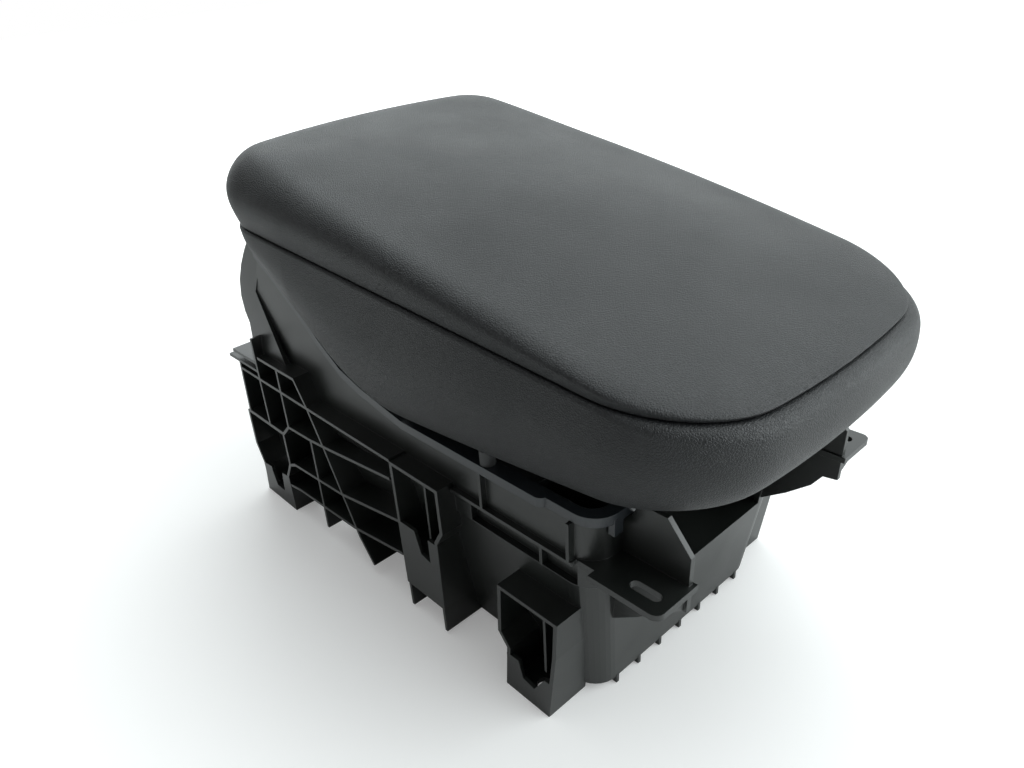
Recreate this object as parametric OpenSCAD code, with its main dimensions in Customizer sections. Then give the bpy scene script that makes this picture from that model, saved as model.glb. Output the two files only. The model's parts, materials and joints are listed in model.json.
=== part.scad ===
// Car centre armrest: a padded, leather-covered lid hinged at the rear of a ribbed plastic storage bin.
// Length lies along X with the nose at +X, width along Y, and the bin stands on its feet at Z = 0.
// Side and end views are drawn from a datum at the front foot, and datum() moves them to the middle.

/* [Bin] */
// Half width over the outer faces of the feet and the side ribs
deck_half = 85; // [84:0.5:87]
// Half width of the upper side walls
wall_half = 75; // [74.5:0.5:75.5]
// Thickness of the moulded walls
wall_t = 2.5; // [2:0.5:3]
// Thickness of the outer ribs
rib_t = 1.8; // [1.2:0.2:2.4]
// Height of the top edge of the straight side walls
wall_top = 110; // [109:0.5:111]
// Height of the underside of the bin floor
floor_z = 4; // [3:0.5:5]
// Spacing of the ribs under the floor
sole_pitch = 16; // [14:1:17]
// Diameter of the screw holes in the feet
foot_bore_d = 7; // [5:0.5:8]

/* [Front wings] */
// Reach of the wing plates in front of the datum
wing_reach = 49; // [46:1:52]
// Height of the top of the wing plates
wing_top = 91; // [90:0.5:92]
// Length of the fixing slots, end to end
slot_l = 13.6; // [10:0.2:15]
// Width of the fixing slots
slot_w = 5; // [4:0.5:6]

/* [Lid] */
// Half width of the seam line at the rear corners
seam_half_rear = 86.8; // [85:0.2:88]
// Half width of the seam line at the front corners
seam_half_front = 80.2; // [79:0.2:82]
// Rise of the pad above the seam at the rear
pad_rise_rear = 34.7; // [30:0.1:36]
// Rise of the pad above the seam at the nose
pad_rise_front = 2.8; // [2.4:0.1:5]
// Extra height in the middle of the pad
pad_crown = 6; // [4:0.5:8]
// Thickness of the leather
leather_t = 1.6; // [1.2:0.1:2]
// Distance from the seam line in to the rigid core
core_inset = 8; // [7:0.5:9]
// Wall of the rigid core
core_t = 3; // [2.5:0.5:3.5]
// Thickness of the closing panel under the lid
panel_t = 2.5; // [2:0.5:3]

/* [Hinge] */
// Diameter of the hinge pin
pin_d = 6; // [5:0.5:7]
// Running clearance of the bushes on the pin, on the radius
pin_clear = 0.05; // [0.03:0.01:0.08]
// Thickness of the two lid arms
arm_t = 5; // [4:0.5:5.5]

/* [Hidden] */
$fn = 48;
plastic = [0.16, 0.17, 0.18];
satin = [0.36, 0.37, 0.39];
leather = [0.20, 0.21, 0.23];
steel = [0.72, 0.73, 0.75];
rubber = [0.10, 0.10, 0.11];

// Reach of the whole object behind and in front of the datum
rear_reach = 266;
nose_reach = 71.179;
shift_x = (rear_reach - nose_reach) / 2;

// Bin, side view from the datum
lower_top = 77;
band_top = 89;
tub_foot = [-192, 8.4];
tub_mid = [-200, 15.6];
tub_lid = [-204, 17];
foot_half = 62.7;
mid_half = wall_half - 1;
band_half = wall_half - 3.5;
tub_corner = 13;
tray_half = band_half - wall_t;
bay_back = -19;
bay_floor = 48;
bay_half = 54.5;
gusset_half = 57;
gusset_t = 2.4;
plate_half = 70;
rear_low = [-204, 107];
rear_high = [-231, 146];
flange_foot = 79.6;
flange_lean = 5.5;
flange_w = 2.5;
flange_edge = [[18, 46], [10, 36], [4, 27], [-0.5, 17], [-1.5, 7], [1, -2], [5, -8], [6, -17], [5, -25], [3, -28]];
rim_nose = 20;
rim_rear = -240;
rim_w = 6;
rim_ear = 4;
rim_ear_l = 234;
rim_path = [[rim_nose, wall_top], [-95, wall_top], [-126, wall_top + 6], [-143, wall_top + 11],
  [-160, wall_top + 22], [-180, wall_top + 38], [-200, wall_top + 52], [-214, wall_top + 60]];
rim_h = 4.5;
spring_h = 10;
spring_t = 0.8;

// Feet, side view from the datum
foot_front = [[-28.7, 60.7], [6.3, 60.7], [5, 40], [0, 0], [-27, 0], [-25, 25], [-30.4, 32]];
foot_middle = [[-101.2, 92.6], [-65, 92.6], [-64.5, 67.5], [-69.7, 58.8], [-70, 16.5], [-100, 16.5]];
foot_rear = [[-256, 61.5], [-213, 61.5], [-213, 37.5], [-220, 26], [-219.5, 0], [-255.6, 0], [-253, 20.5],
  [-259, 35], [-258.7, 60.7]];
foot_x = [-12.5, -84, -238];
foot_sole = [0, 40, 0];
foot_t = 2;
mat_t = 2;
mat_gap = 2;
sole_t = 3;
bore_y = 74.5;

// Lid, seam line in plan and its bow at the ends and sides
seam_rear = -211.8;
seam_front = 58.2;
rear_r = 20;
front_r = 36.6;
rear_bow = 10.2;
front_bow = 6.9;
side_bow = 4.5;
bulge_rear = 10.9;
bulge_front = 7;
nose_fade = 0.6;
roll = 27;
skirt_bulge = 3.8;
skirt_tuck = 2.9;
skirt_full = 40;
shoulder_side = 3.4;
shoulder_nose = 7.2;
wrap = 14;

// Hinge axis from the datum
axis_x = -246;
axis_z = 132;
pin_r = pin_d / 2;
bush_wall = 1.6;
bush_r = pin_r + pin_clear + bush_wall;
boss_r = 11;
lug_r = 9;
lug_half = 62;
lug_t = 4;
flange_t = 1.2;
side_gap = 0.4;
arm_y = lug_half + side_gap + flange_t;
clip_t = 1.2;
cap_t = 1.4;
pin_half = arm_y + arm_t - cap_t - side_gap;
clip_y = lug_half - lug_t - side_gap - clip_t;

module datum() translate([shift_x, 0, 0]) children();
module both_sides() {
  children();
  mirror([0, 1, 0]) children();
}

// Extrudes a side view, drawn in X and Z, from y0 to y1
module across(y0, y1) translate([0, y1, 0]) rotate([90, 0, 0]) linear_extrude(y1 - y0) children();
// Extrudes an end view, drawn in Y and Z, from x0 to x1
module along(x0, x1) translate([x0, 0, 0]) rotate([90, 0, 90]) linear_extrude(x1 - x0) children();
// A straight bar of a side view from p to q
module bar(p, q, t = rib_t) translate(p) rotate(atan2(q[1] - p[1], q[0] - p[0])) translate([0, -t / 2])
  square([norm(q - p), t]);
// A bent bar through a list of points, mitred at its bends
function unit(v) = v / norm(v);
function mitre(points, i, t) = let (
    a = unit(points[max(i, 1)] - points[max(i, 1) - 1]),
    k = min(i, len(points) - 2),
    m = unit(a + unit(points[k + 1] - points[k])))
  [-m[1], m[0]] * t / (2 * (a * m));
module bars(points, t = rib_t) polygon(concat(
  [for (i = [0:len(points) - 1]) points[i] + mitre(points, i, t)],
  [for (i = [len(points) - 1:-1:0]) points[i] - mitre(points, i, t)]));
module rounded(x0, x1, half, r) {
  translate([x0 + r, -half]) square([x1 - x0 - 2 * r, 2 * half]);
  translate([x0, -half + r]) square([x1 - x0, 2 * half - 2 * r]);
  for (x = [x0 + r, x1 - r], y = [-half + r, half - r]) translate([x, y]) circle(r);
}

// Points of an arc, and of a rounded rectangle at one height
function arc(cx, cy, r, a0, a1, n) = [for (i = [0:n]) [cx + r * cos(a0 + (a1 - a0) * i / n),
  cy + r * sin(a0 + (a1 - a0) * i / n)]];
function box_ring(ends, half, r, z) = [for (p = concat(
    arc(ends[0] + r, -half + r, r, 180, 270, 8), arc(ends[1] - r, -half + r, r, 270, 360, 8),
    arc(ends[1] - r, half - r, r, 0, 90, 8), arc(ends[0] + r, half - r, r, 90, 180, 8))) [p[0], p[1], z]];
// Drafted tub between two heights: end coordinates and half width at each
module drafted(z0, ends0, half0, z1, ends1, half1, r) {
  n = 36;
  polyhedron(concat(box_ring(ends0, half0, r, z0), box_ring(ends1, half1, r, z1)), concat(
    [for (i = [0:n - 1]) [i, n + i, n + (i + 1) % n, (i + 1) % n]],
    [[for (i = [0:n - 1]) i], [for (i = [n - 1:-1:0]) n + i]]));
}

// Storage hollow, with a step for a tray at the top of the band
module storage() {
  drafted(floor_z + wall_t, tub_foot + [wall_t, -wall_t], foot_half - wall_t + 0.4, lower_top,
    tub_mid + [wall_t, -wall_t], tray_half, tub_corner - wall_t);
  translate([0, 0, lower_top - 0.5]) linear_extrude(band_top + 1.5 - lower_top)
    rounded(tub_lid[0] + wall_t, tub_mid[1] - wall_t, tray_half, tub_corner - wall_t);
  translate([0, 0, band_top + 0.5]) linear_extrude(wall_top + 1 - band_top)
    rounded(tub_lid[0] + wall_t, tub_lid[1] - wall_t, wall_half - wall_t, tub_corner - wall_t);
}

// Open bay in the front wall, and the wall and floor that close it off from the storage hollow
module front_bay() across(-bay_half, bay_half) polygon([[bay_back, bay_floor], [40, bay_floor],
  [40, wall_top + 2], [bay_back, wall_top + 2]]);
module bay_walls() {
  along(bay_back - wall_t, bay_back) polygon([[-68, bay_floor - wall_t], [68, bay_floor - wall_t],
    [band_half - 1, lower_top], [band_half - 1, wall_top], [1 - band_half, wall_top], [1 - band_half, lower_top]]);
  across(-gusset_half, gusset_half) polygon([[bay_back - wall_t, bay_floor - wall_t], [11, bay_floor - wall_t],
    [11, bay_floor], [bay_back - wall_t, bay_floor]]);
}

// Lattice of side ribs, one side view
lattice = [
  [[-226, 107.6], [-185.6, 107.6], [-176, 92], [-166, 72], [-155, 48], [-143, 22], [-132, 7.5]],
  [[-252.7, 92.6], [-101, 92.6]],
  [[-255, 61], [-213, 61], [-204.5, 69]],
  [[-204.5, 69], [-179.5, 70.5], [-156, 73.5], [-103, 81]],
  [[-213, 38], [-207, 41], [-155, 45.4], [-99, 56.6]],
  [[-219, 20], [-205, 22.4], [-148, 26], [-101, 34.6]],
  [[-229.5, 119], [-229.5, 62]],
  [[-204.5, 107], [-204.5, 68]],
  [[-179.5, 71], [-179.5, 8.5]],
  [[-252.7, 96.5], [-255, 62]]
];

module side_ribs() {
  across(-deck_half, -foot_half + 2) for (points = lattice) bars(points);
  across(-deck_half, -plate_half) {
    bar([-rear_reach, 97.6], [-229, 97.6]);
    bar([7 - rear_reach, 103], [-229, 103]);
  }
  across(-plate_half, -plate_half + wall_t)
    polygon([[-255, 61], [-252.7, 98], [-229, 108.4], [-194, 108.4], [-194, 8], [-219, 8], [-219, 30],
      [-255, 30]]);
}

// Hollow foot open at its outer face, with a notched plate over the lower part
module foot(outline, x, plate, sole, notch, fins) {
  difference() {
    union() {
      difference() {
        across(-deck_half, -foot_half + foot_t) polygon(outline);
        across(-deck_half - 1, -foot_half + foot_t + 1) offset(delta = -foot_t) polygon(outline);
      }
      across(-deck_half + 0.5, -foot_half + foot_t) intersection() {
        polygon(outline);
        translate([x - 40, sole]) square([80, sole_t]);
      }
    }
    translate([x, -bore_y, -1]) cylinder(d = foot_bore_d, h = sole + sole_t + 2);
  }
  across(-deck_half, -deck_half + foot_t) difference() {
    polygon(plate);
    polygon(notch);
  }
  across(-deck_half + 4, -foot_half + foot_t) for (f = fins) bar(f[0], f[1], 1.4);
}

module feet() {
  foot(foot_front, foot_x[0], [[-25.6, 0.5], [-0.5, 0.5], [2, 22], [-25.5, 21.5]], foot_sole[0],
    [[-18, 25], [-18, 21.4], [-15.6, 12.5], [-8.8, 11], [-2, 22.4], [-2, 25]], [[[-5, 22], [-5, 60]]]);
  foot(foot_middle, foot_x[1], [[-100, 17], [-71, 17], [-70.5, 57.5], [-100.5, 57]], foot_sole[1],
    [[-88.5, 60], [-87.6, 57], [-84, 44.7], [-77, 43], [-77, 60]], [[[-80, 44], [-80, 92]]]);
  foot(foot_rear, foot_x[2], [[-254, 0.5], [-220.5, 0.5], [-220.5, 26], [-253.5, 22]], foot_sole[2],
    [[-243, 30], [-243, 20], [-240, 10], [-231, 10], [-228, 30]], []);
  across(-deck_half, -foot_half + foot_t) {
    bar([-98, 17.5], [-97.5, 2]);
    bar([-70.9, 17.5], [-70.5, 2]);
  }
}

// Fine ribs and ledges of the upper side wall
module side_trim() {
  across(-wall_half - 3, -tray_half - 1) polygon([[-64, band_top], [8, band_top], [8, band_top + 1.8],
    [-64, band_top + 1.8]]);
  across(-wall_half - 3, -wall_half + 1) {
    bar([-43.5, band_top], [-43.5, wall_top - 1], 1.6);
    bar([6, band_top], [6, wall_top - 1], 1.6);
  }
  across(-wall_half, -tray_half - 1) bar([-11.5, lower_top - 1], [-11.5, band_top + 1], 1.6);
}

// Wing with its slotted plate, side gusset and stiffening rib
module wing() {
  slot_x = 37.5;
  slot_y = 70.5;
  difference() {
    translate([0, 0, wing_top - 2.8]) linear_extrude(2.8) {
      translate([8, -gusset_half - 4]) square([wing_reach - 8, 5]);
      translate([8, -wall_half]) square([wing_reach - 8, 20]);
      translate([17, -79]) square([wing_reach - 21, 10]);
      translate([wing_reach - 4, -75]) circle(4);
    }
    translate([slot_x, -slot_y, wing_top - 4]) linear_extrude(6) {
      square([slot_l - slot_w, slot_w], center = true);
      for (s = [-1, 1]) translate([s * (slot_l - slot_w) / 2, 0]) circle(d = slot_w);
    }
  }
  across(-gusset_half - gusset_t / 2, -gusset_half + gusset_t / 2)
    polygon([[bay_back, bay_floor], [9, bay_floor], [25, 60], [36, 70], [40.5, 77], [wing_reach - 2, 78],
      [wing_reach - 1.7, 104], [36.5, 117], [24, 117], [21, wall_top], [bay_back, wall_top]]);
  along(wing_reach - 5, wing_reach - 3) polygon([[-78, wing_top - 2], [-gusset_half, wing_top - 2],
    [-gusset_half, 78]]);
}

// X of the leaning rear wall at a height
function lean_x(z) = rear_low[0] + (z - rear_low[1]) * (rear_high[0] - rear_low[0]) / (rear_high[1] - rear_low[1]);

// Side wall above the tub, rising to the hinge
module cheek() across(-wall_half, -wall_half + wall_t)
  polygon(concat([[-95, wall_top - 8]], [for (p = rim_path) if (p[0] < -90) p], [[-218, 167], rear_high,
    [-223, 134], [-212, 117], rear_low, [-204, wall_top - 8]]));

// Flange behind the leaning rear wall: an S-shaped edge that leans in towards the hinge
function lean_point(z) = [lean_x(z), z];
module rear_flange() translate([0, -flange_foot, rear_low[1]]) rotate([-flange_lean, 0, 0])
  translate([0, 0, -rear_low[1]]) across(0, flange_w) polygon(concat([lean_point(104) + [3, 0]],
    [for (z = [rear_low[1], rear_high[1]]) lean_point(z) + [3, 0]], [[-217, 168], [-222, 176]],
    [for (p = flange_edge) [axis_x, axis_z] + p]));

module hinge_lug() difference() {
  across(-lug_half, -lug_half + lug_t) {
    translate([axis_x, axis_z]) circle(lug_r);
    polygon([[axis_x, axis_z + lug_r], [lean_x(143) + 1, 143], [lean_x(119) + 1, 119],
      [axis_x, axis_z - lug_r]]);
  }
  across(-lug_half - 1, -lug_half + lug_t + 1) translate([axis_x, axis_z]) circle(pin_r);
}

module bin_housing() color(plastic) datum() {
  difference() {
    union() {
      drafted(floor_z, tub_foot, foot_half, lower_top, tub_mid, mid_half, tub_corner);
      translate([0, 0, lower_top - 0.5]) linear_extrude(wall_top + 0.5 - lower_top)
        rounded(tub_lid[0], tub_lid[1], wall_half, tub_corner);
      both_sides() {
        side_ribs();
        feet();
      }
    }
    storage();
    front_bay();
    both_sides() translate([-54, -wall_half - 1, lower_top]) cube([62, 1 + wall_half - band_half, 12]);
  }
  for (i = [-3:3]) translate([-188, i * sole_pitch - rib_t / 2, 0]) cube([196.7, rib_t, floor_z + 1]);
  bay_walls();
  both_sides() {
    wing();
    side_trim();
    cheek();
    rear_flange();
    hinge_lug();
    translate([0, lug_half - 42, 0]) hinge_lug();
  }
  across(-wall_half + 1, wall_half - 1)
    polygon([[-204, 104], rear_low, rear_high, rear_high + [2.8, 1.4], [-201.5, 108], [-201.5, 104]]);
}

// Bright frame that caps the side walls and crosses the front
module rim_plan() difference() {
  offset(r = 4) offset(delta = -4) union() {
    rounded(rim_rear, rim_nose, wall_half + 1.5, 12);
    translate([rim_rear, -wall_half - rim_ear]) square([rim_ear_l, 2 * (wall_half + rim_ear)]);
  }
  rounded(rim_rear - 20, rim_nose - rim_w, wall_half + 1.5 - rim_w + 1, 8);
}
module rim_frame() color(satin) datum() {
  intersection() {
    across(-wall_half - 8, wall_half + 8)
      polygon(concat(rim_path, [for (i = [len(rim_path) - 1:-1:0]) rim_path[i] + [0, rim_h]]));
    translate([0, 0, wall_top - 5]) linear_extrude(80) rim_plan();
  }
  both_sides() translate([tub_lid[1], -wall_half + 8, wall_top - 6]) cube([3, 5, 8]);
}
module rim_clips() color(steel) datum() both_sides() for (x = [-92, -45]) translate([x, 0, 0])
  along(-5, 5) translate([-wall_half + wall_t, wall_top - spring_h]) polygon([[0, 0], [0, spring_h],
    [spring_t, spring_h], [spring_t, 2], [2 * spring_t, 0]]);

module bin_mat() color(rubber) datum() translate([0, 0, floor_z + wall_t])
  linear_extrude(mat_t) rounded(tub_foot[0] + wall_t + mat_gap, bay_back - mat_gap - 5,
    foot_half - wall_t + 0.5 - mat_gap, tub_corner - wall_t - mat_gap + 0.5);

// Lid, plan outline: half of the seam line from the rear middle round to the nose, then its mirror image
function lane(p, q, n) = [for (i = [1:n - 1]) p + (q - p) * i / n];
half_plan = let (
    a = [seam_rear + rear_r, -seam_half_rear + rear_r],
    b = [seam_front - front_r, -seam_half_front + front_r])
  concat([[seam_rear, 0]], lane([seam_rear, 0], [seam_rear, a[1]], 3), arc(a[0], a[1], rear_r, 180, 270, 4),
    lane([a[0], a[1] - rear_r], [b[0], b[1] - front_r], 7), arc(b[0], b[1], front_r, 270, 360, 6),
    lane([seam_front, b[1]], [seam_front, 0], 3), [[seam_front, 0]]);
function share(x) = (x - seam_rear) / (seam_front - seam_rear);
function bowed(p) = let (
    u = share(p[0]),
    w = seam_half_rear + (seam_half_front - seam_half_rear) * u,
    k = 1 - pow(p[1] / w, 2))
  [p[0] - rear_bow * k * max(0, 1 - 2 * u) + front_bow * k * max(0, 2 * u - 1),
    p[1] * (1 + side_bow * 4 * u * (1 - u) / w)];
near = [for (p = half_plan) bowed(p)];
plan = concat(near, [for (i = [len(near) - 2:-1:1]) [near[i][0], -near[i][1]]]);
N = len(plan);
M = len(near) - 1;
outward = [for (i = [0:N - 1]) let (d = unit(plan[(i + 1) % N] - plan[(i + N - 1) % N])) [d[1], -d[0]]];
function pushed(i, d) = plan[i] + outward[i] * d;

// Lid, heights over the length: the seam, the pad above it, the lower edge of the skirt and the core's roof
function seam_z(x) = 175 - 0.13 * x - 2.08 * pow(x / 100, 2);
function rise(x) = pad_rise_rear + (pad_rise_front - pad_rise_rear) * share(x);
function sweep(x) = pow(min(1, max(0, (-123 - x) / (-123 - seam_rear))), 0.7);
function straight_z(x) = 126.7 + 0.056 * x;
function skirt_z(x) = straight_z(x) + (seam_z(x) - 5 - straight_z(x)) * sweep(x);
function skirt_share(x) = min(1, (seam_z(x) - skirt_z(x)) / skirt_full);
function pad_z(x) = seam_z(x) + rise(x);
function roof_z(x) = seam_z(x) - 8 + 0.55 * rise(x);

// How far the pad bulges over the seam at a point of the plan, least across the nose, and the radius of the
// side's shoulder under the seam, largest across the nose
function nose(i) = max(0, outward[i][0]);
function pad_bulge(i) = (bulge_rear + (bulge_front - bulge_rear) * share(plan[i][0])) * (1 - nose_fade * nose(i));
function side_tall(i) = seam_z(plan[i][0]) - skirt_z(plan[i][0]);
function shoulder_r(i) = min(shoulder_side + (shoulder_nose - shoulder_side) * nose(i), 0.4 * side_tall(i));
function shoulder(i, q) = shoulder_r(i) * 0.8 * pow(1 - q, 1.5) *
  sqrt(1 - pow(1 - min(1, q * side_tall(i) / shoulder_r(i)), 2));

// Rings of points on the lid skin, t inside its outer surface: skirt, shoulder of the pad, and crown
function skirt_ring(q, t, lift) = [for (i = [0:N - 1]) let (
    x = plan[i][0],
    p = pushed(i, (skirt_bulge * sin(180 * q) - skirt_tuck * pow(q, 3)) * skirt_share(x) + shoulder(i, q) - t))
  [p[0], p[1], seam_z(x) + (skirt_z(x) + lift - seam_z(x)) * q]];
function pad_ring(a, t) = [for (i = [0:N - 1]) let (
    x = plan[i][0],
    p = pushed(i, pad_bulge(i) * sin(min(90, 2.5 * a)) - roll * (1 - cos(a)) - t))
  [p[0], p[1], seam_z(x) + (rise(x) - t) * sin(a)]];
mid_x = (seam_rear + seam_front) / 2;
function crown_z(x, k, t) = pad_z(x) - t + pad_crown * pow(1 - k * k, 1.3);
function crown_ring(k, t) = [for (p = pad_ring(90, t)) let (x = mid_x + (p[0] - mid_x) * k)
  [x, p[1] * k, crown_z(x, k, t) + (p[2] + t - pad_z(p[0])) * pow(k, 4)]];
function flat_ring(d, lift) = [for (i = [0:N - 1]) let (p = pushed(i, -d)) [p[0], p[1], skirt_z(plan[i][0]) + lift]];
function roof_ring(d, lift) = [for (i = [0:N - 1]) let (p = pushed(i, -d)) [p[0], p[1], roof_z(plan[i][0]) + lift]];
function skirt_up(t, lift) = [for (q = [1, 0.8, 0.5, 0.22, 0.08]) skirt_ring(q, t, lift)];
function pad_up(t) = concat([for (a = [0, 14, 32, 52, 72, 90]) pad_ring(a, t)],
  [for (k = [0.72, 0.38]) crown_ring(k, t)], [[[mid_x, 0, crown_z(mid_x, 0, t)]]]);
function back(rings) = [for (i = [len(rings) - 1:-1:0]) rings[i]];

// Faces between two rings, split the same way whether the rings run up or down
function band(a, la, b, lb, down) = [for (i = [0:N - 1]) let (j = (i + 1) % N)
  each la == 1 ? [[a, b + i, b + j]] : lb == 1 ? [[a + i, b, a + j]] :
    down ? [[a + i, b + i, a + j], [b + i, b + j, a + j]] : [[a + i, b + j, a + j], [a + i, b + i, b + j]]];
// Faces across a ring, each one level from side to side
function ruled(a, up) = concat([up ? [a + 1, a, a + N - 1] : [a + N - 1, a, a + 1]],
  [for (i = [1:M - 2]) up ? [a + N - i, a + N - i - 1, a + i + 1, a + i] : [a + i, a + i + 1, a + N - i - 1, a + N - i]],
  [up ? [a + M + 1, a + M, a + M - 1] : [a + M - 1, a + M, a + M + 1]]);
// Closed solid through a list of rings; the bands from down_from to down_to run downwards
module skin(rings, down_to, ends = "poles", down_from = 0) {
  starts = [for (i = 0, n = 0; i < len(rings); n = n + len(rings[i]), i = i + 1) n];
  last = len(rings) - 1;
  polyhedron([for (r = rings) each r], concat(
    [for (k = [0:last - 1]) each band(starts[k], len(rings[k]), starts[k + 1], len(rings[k + 1]),
      k >= down_from && k < down_to)],
    ends == "loop" ? band(starts[last], N, 0, N, true) : [],
    ends == "ruled" || ends == "start" ? ruled(0, false) : [],
    ends == "ruled" ? ruled(starts[last], true) : []), convexity = 8);
}

module lid_top_cover() color(leather) datum()
  skin(concat(back(pad_up(leather_t)), pad_up(0)), 8);
module lid_side_cover() color(leather) datum()
  skin(concat([pad_ring(0, leather_t)], back(skirt_up(leather_t, leather_t)), [flat_ring(core_inset, leather_t),
    flat_ring(core_inset + core_t, leather_t), flat_ring(wrap, leather_t), flat_ring(wrap, 0),
    flat_ring(core_inset + 1, 0)], skirt_up(0, 0), [pad_ring(0, 0)]), 8, "loop");
module lid_foam() color([0.75, 0.72, 0.55]) datum()
  skin(concat([roof_ring(core_inset, 0), flat_ring(core_inset, leather_t)], skirt_up(leather_t, leather_t),
    pad_up(leather_t)), 1, "start");

// Rigid core: roof and side walls, with bosses and ribs inside
boss_at = [[40, 40], [-25, 66], [-105, 66]];
boss_d = 9;
cross_ribs = [-165, -115, -65, -15];
long_rib_y = 31;
core_rib_t = 2;
screw_d = 3.5;
slant = 33.4;
arm_screw_x = [-184, -201];
arm_screw_y = 56;
module inner_block(d, lift, top) skin([flat_ring(d, lift), roof_ring(d, top)], 0, "ruled");
module at_arm_screws() for (x = arm_screw_x, s = [-1, 1]) translate([x, s * arm_screw_y, skirt_z(x)])
  rotate([0, slant, 0]) children();
module lid_core() color(plastic) datum() difference() {
  union() {
    skin([roof_ring(core_inset + core_t, -core_t), flat_ring(core_inset + core_t, leather_t),
      flat_ring(core_inset, leather_t), roof_ring(core_inset, 0)], 1, "ruled");
    intersection() {
      inner_block(wrap, 0, -core_t / 2);
      union() {
        for (p = boss_at, s = [-1, 1]) translate([p[0], s * p[1], 100]) cylinder(d = boss_d, h = 120);
        at_arm_screws() translate([0, 0, -20]) cylinder(d = boss_d, h = 80);
      }
    }
    intersection() {
      inner_block(core_inset + core_t / 2, 4, -core_t / 2);
      union() {
        for (x = cross_ribs) translate([x, -seam_half_rear, 100]) cube([core_rib_t, 2 * seam_half_rear, 120]);
        for (s = [-1, 1]) translate([-200, s * long_rib_y - core_rib_t / 2, 100]) cube([245, core_rib_t, 120]);
      }
    }
  }
  for (p = boss_at, s = [-1, 1]) translate([p[0], s * p[1], 110]) cylinder(d = screw_d, h = 32);
  at_arm_screws() translate([0, 0, -20]) cylinder(d = screw_d, h = 34);
}

// Closing panel: it clamps the turned-in edge of the leather against the core
panel_inset = core_inset + 1;
panel_line = [for (i = [0:M]) [pushed(i, -panel_inset)[0], skirt_z(plan[i][0]) - panel_t]];
function under(x) = lookup(x, panel_line);
function seat(x, r) = min(under(x - r), under(x + r));
screw_head_d = 7;
screw_head_h = 2;
stop_x = -40;
stop_y = 75;
stop_d = 7;
stem_d = 4;
module lid_inner_panel() color(plastic) datum() difference() {
  skin([flat_ring(panel_inset, -panel_t), flat_ring(panel_inset, 0), flat_ring(wrap, 0)], 2, "ruled", 1);
  for (p = boss_at, s = [-1, 1]) translate([p[0], s * p[1], 110]) cylinder(d = screw_d, h = 30);
  for (s = [-1, 1]) translate([stop_x, s * stop_y, 110]) cylinder(d = stem_d, h = 30);
  at_arm_screws() translate([0, 0, -20]) cylinder(d = screw_d, h = 34);
}
module panel_screws() color(steel) datum() for (p = boss_at, s = [-1, 1]) {
  z = seat(p[0], screw_head_d / 2);
  translate([p[0], s * p[1], z - screw_head_h]) cylinder(d = screw_head_d, h = screw_head_h);
  translate([p[0], s * p[1], z]) cylinder(d = screw_d, h = 14);
}
module bump_stop(s) color(rubber) datum() translate([stop_x, s * stop_y, 0]) {
  low = wall_top + rim_h + 0.05;
  translate([0, 0, low]) cylinder(d = stop_d, h = seat(stop_x, stop_d / 2) - low);
  translate([0, 0, low]) cylinder(d = stem_d, h = seat(stop_x, stem_d / 2) + panel_t - low);
}
module bump_stop_left() bump_stop(1);
module bump_stop_right() bump_stop(-1);

// Lid arm: a web that swings on the hinge pin, and a flange screwed up against the panel
arm_front = -172;
arm_rear = -213;
arm_inner = 48;
arm_back = [[-11, 0], [-12, 6], [-10, 15.5], [-1, 28], [11, 43]];
arm_belly = [[18, 23], [8, 6], [0, -5]];
flange_drop = 5;
function under_line(x0, x1, d) = concat([[x0, under(x0) - d]],
  [for (p = panel_line) if (p[0] > x0 && p[0] < x1) [p[0], p[1] - d]], [[x1, under(x1) - d]]);
module arm(s) color(plastic) datum() difference() {
  union() {
    across(s > 0 ? arm_y : -arm_y - arm_t, s > 0 ? arm_y + arm_t : -arm_y) {
      translate([axis_x, axis_z]) circle(boss_r);
      polygon(concat([for (p = arm_back) [axis_x, axis_z] + p], [[arm_rear - 9, under(arm_rear) - 1]],
        under_line(arm_rear, arm_front, 0), [[arm_front + 1, under(arm_front) - 6],
        [arm_rear + 7, under(arm_rear) - 19]], [for (p = arm_belly) [axis_x, axis_z] + p]));
    }
    across(s > 0 ? arm_inner : -arm_y - 1, s > 0 ? arm_y + 1 : -arm_inner)
      polygon(concat(under_line(arm_rear + 2, arm_front, 0), back(under_line(arm_rear + 2, arm_front, flange_drop))));
  }
  across(s > 0 ? arm_y - 1 : cap_t - arm_y - arm_t, s > 0 ? arm_y + arm_t - cap_t : 1 - arm_y)
    translate([axis_x, axis_z]) circle(bush_r);
  at_arm_screws() translate([0, 0, -20]) cylinder(d = screw_d, h = 34);
  at_arm_screws() translate([0, 0, -20]) cylinder(d = 8, h = 20 - panel_t / cos(slant) - 3);
}
module hinge_arm_left() arm(1);
module hinge_arm_right() arm(-1);
module arm_screws(s) color(steel) datum() for (x = arm_screw_x)
  translate([x, s * arm_screw_y, skirt_z(x)]) rotate([0, slant, 0]) {
    translate([0, 0, -panel_t / cos(slant) - 3 - screw_head_h]) cylinder(d = screw_head_d, h = screw_head_h);
    translate([0, 0, -panel_t / cos(slant) - 3]) cylinder(d = screw_d, h = 14);
  }
module arm_screws_left() arm_screws(1);
module arm_screws_right() arm_screws(-1);

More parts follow.
